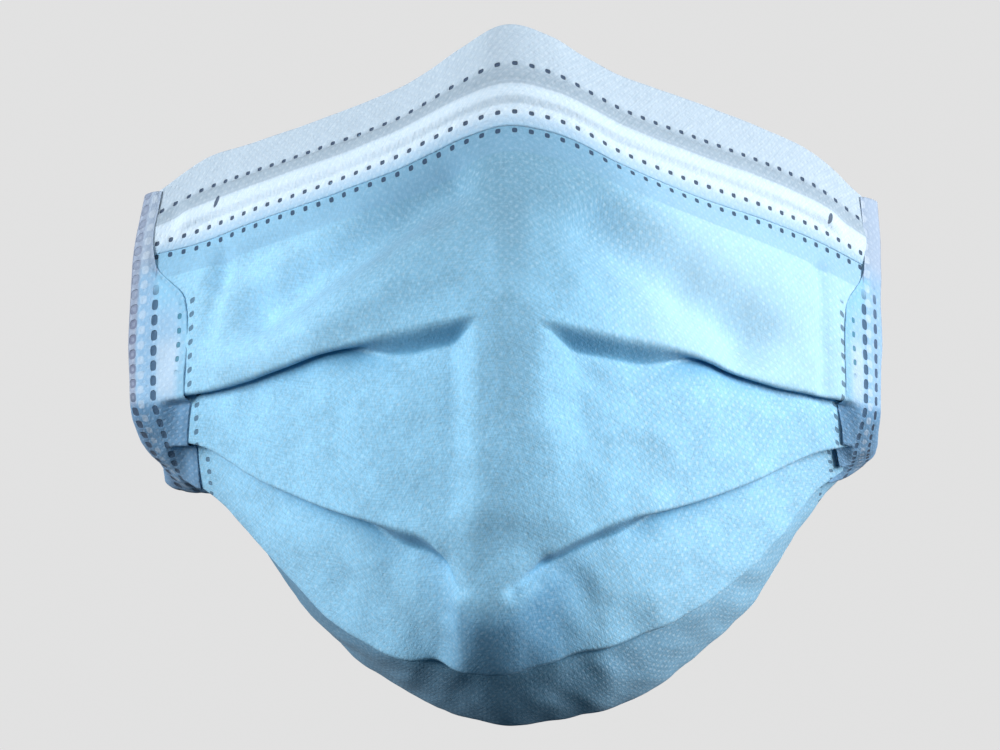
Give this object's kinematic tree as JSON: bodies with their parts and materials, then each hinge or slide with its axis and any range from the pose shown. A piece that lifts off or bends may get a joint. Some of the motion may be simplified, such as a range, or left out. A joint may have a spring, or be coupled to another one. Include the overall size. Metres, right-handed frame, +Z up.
{
  "type": "surgical face mask",
  "caption": "Pleated disposable face mask in its worn shape, with a white top hem over a nose wire and folded side bindings, without ear loops.",
  "frame": {"origin": "on the middle line, in the plane of the side edges, where the mask sits on the face", "axes": "+X to the right of someone looking at the mask's outer side, +Y towards the wearer, +Z up"},
  "size_m": [0.1403, 0.0759, 0.1257],
  "materials": {
    "blue_cloth": "light blue spunbond nonwoven with fine bond points",
    "white_cloth": "white spunbond nonwoven with rows of weld points",
    "binding_cloth": "thin pale nonwoven strip with rows of weld points",
    "wire": "plain soft wire"
  },
  "bodies": {
    "root": {"mask_body": "blue_cloth", "top_hem": "white_cloth", "nose_wire": "wire", "side_binding_left": "binding_cloth", "side_binding_right": "binding_cloth"}
  },
  "joints": []
}
